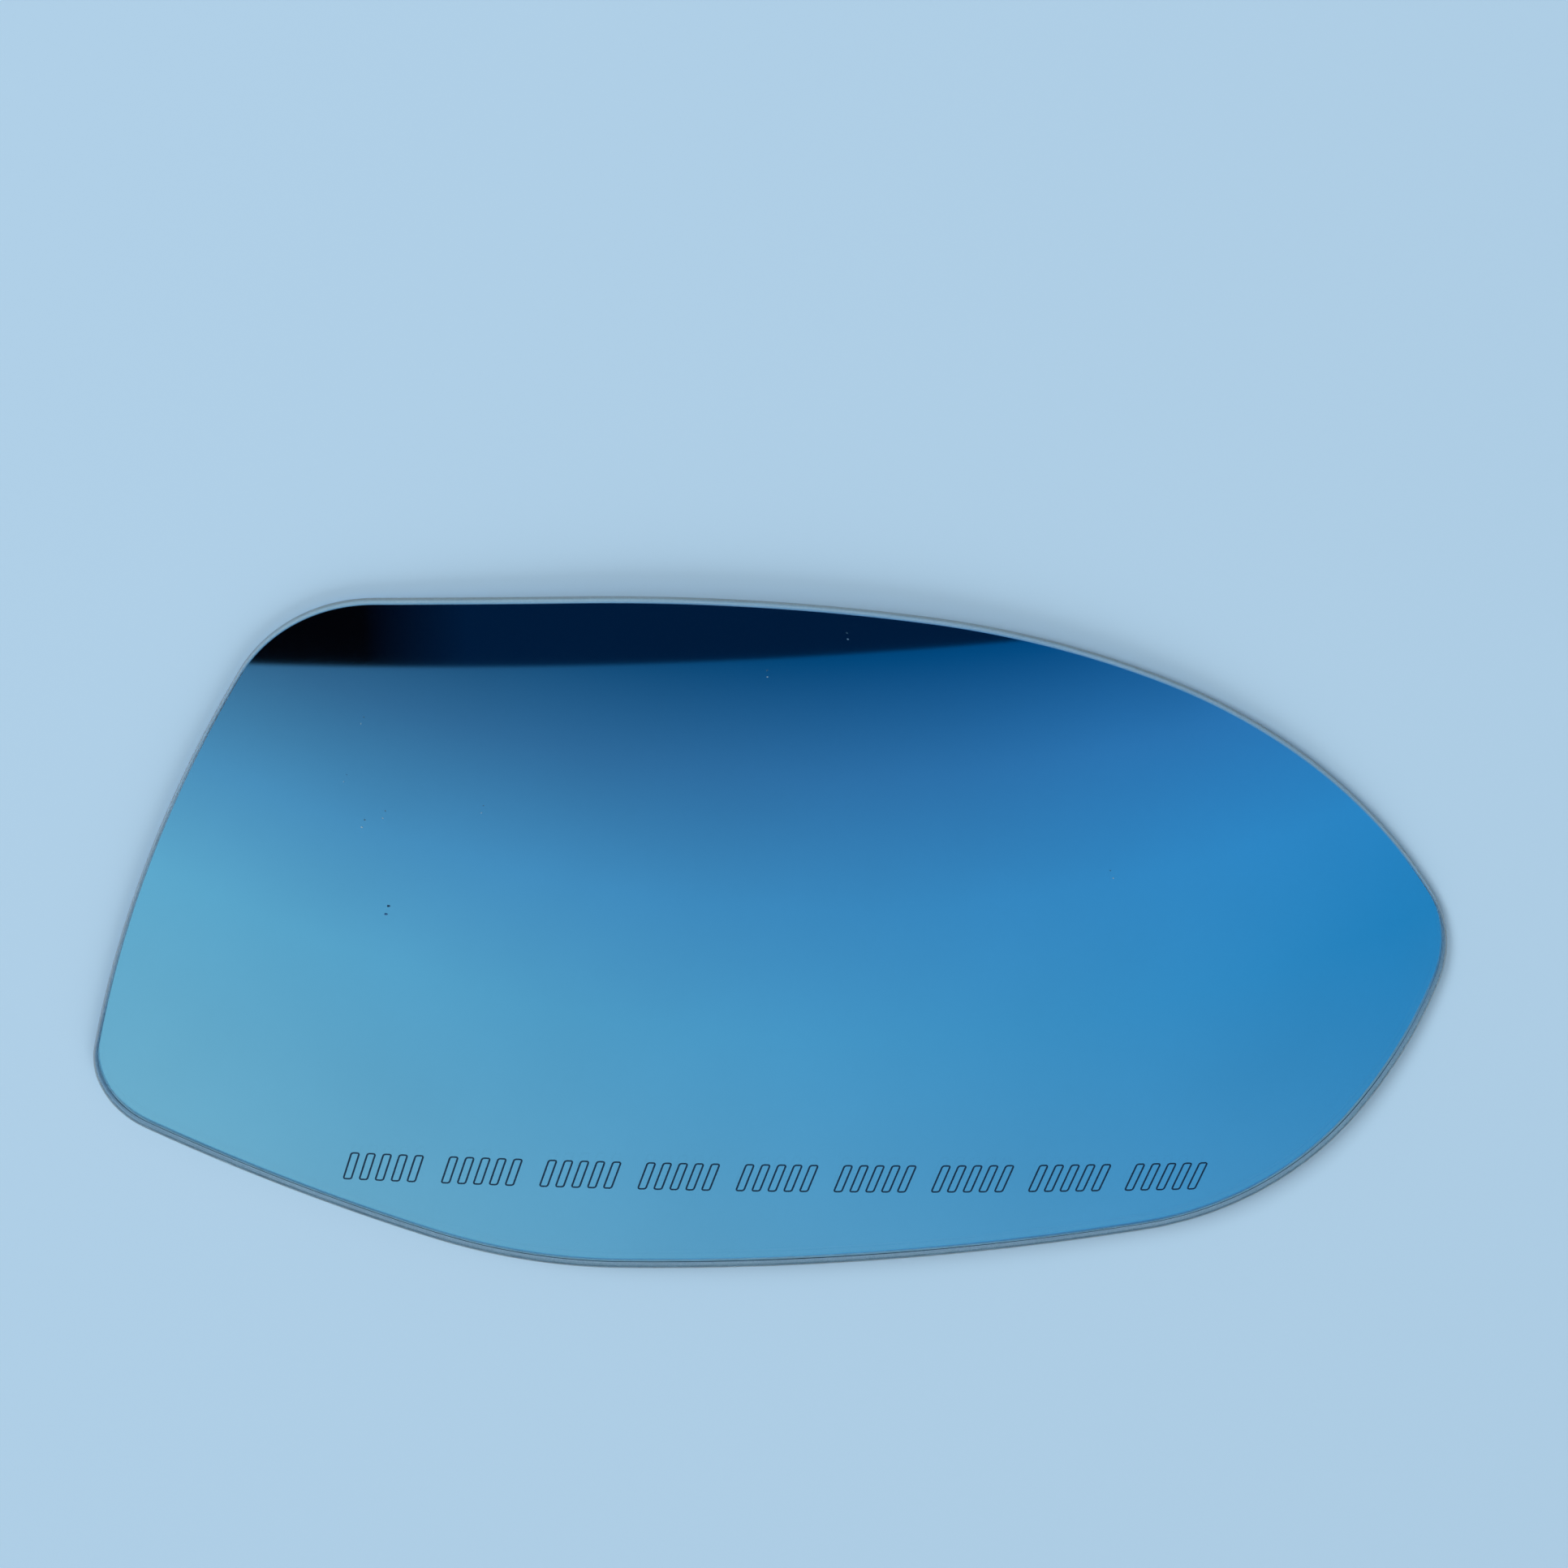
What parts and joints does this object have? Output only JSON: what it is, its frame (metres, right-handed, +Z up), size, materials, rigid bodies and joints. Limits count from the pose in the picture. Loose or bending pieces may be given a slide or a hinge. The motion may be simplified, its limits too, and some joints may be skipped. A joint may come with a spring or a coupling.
{
  "type": "car door mirror glass",
  "caption": "Convex bent-glass pane with a long teardrop outline, a mirror coat on its concave back and a ground, rounded rim; shows the driver the road behind.",
  "frame": {"origin": "middle of the pane's footprint, on the floor that the back of its rim rests on", "axes": "+X along the pane towards its tip, +Y from the bottom edge to the top edge, +Z up, out of the convex front face"},
  "size_m": [0.1952, 0.109, 0.0063],
  "materials": {
    "silvered_glass": "clear bent glass with a chrome mirror coat on its back, polished front face, ground rim"
  },
  "bodies": {
    "root": {"mirror_glass": "silvered_glass"}
  },
  "joints": []
}
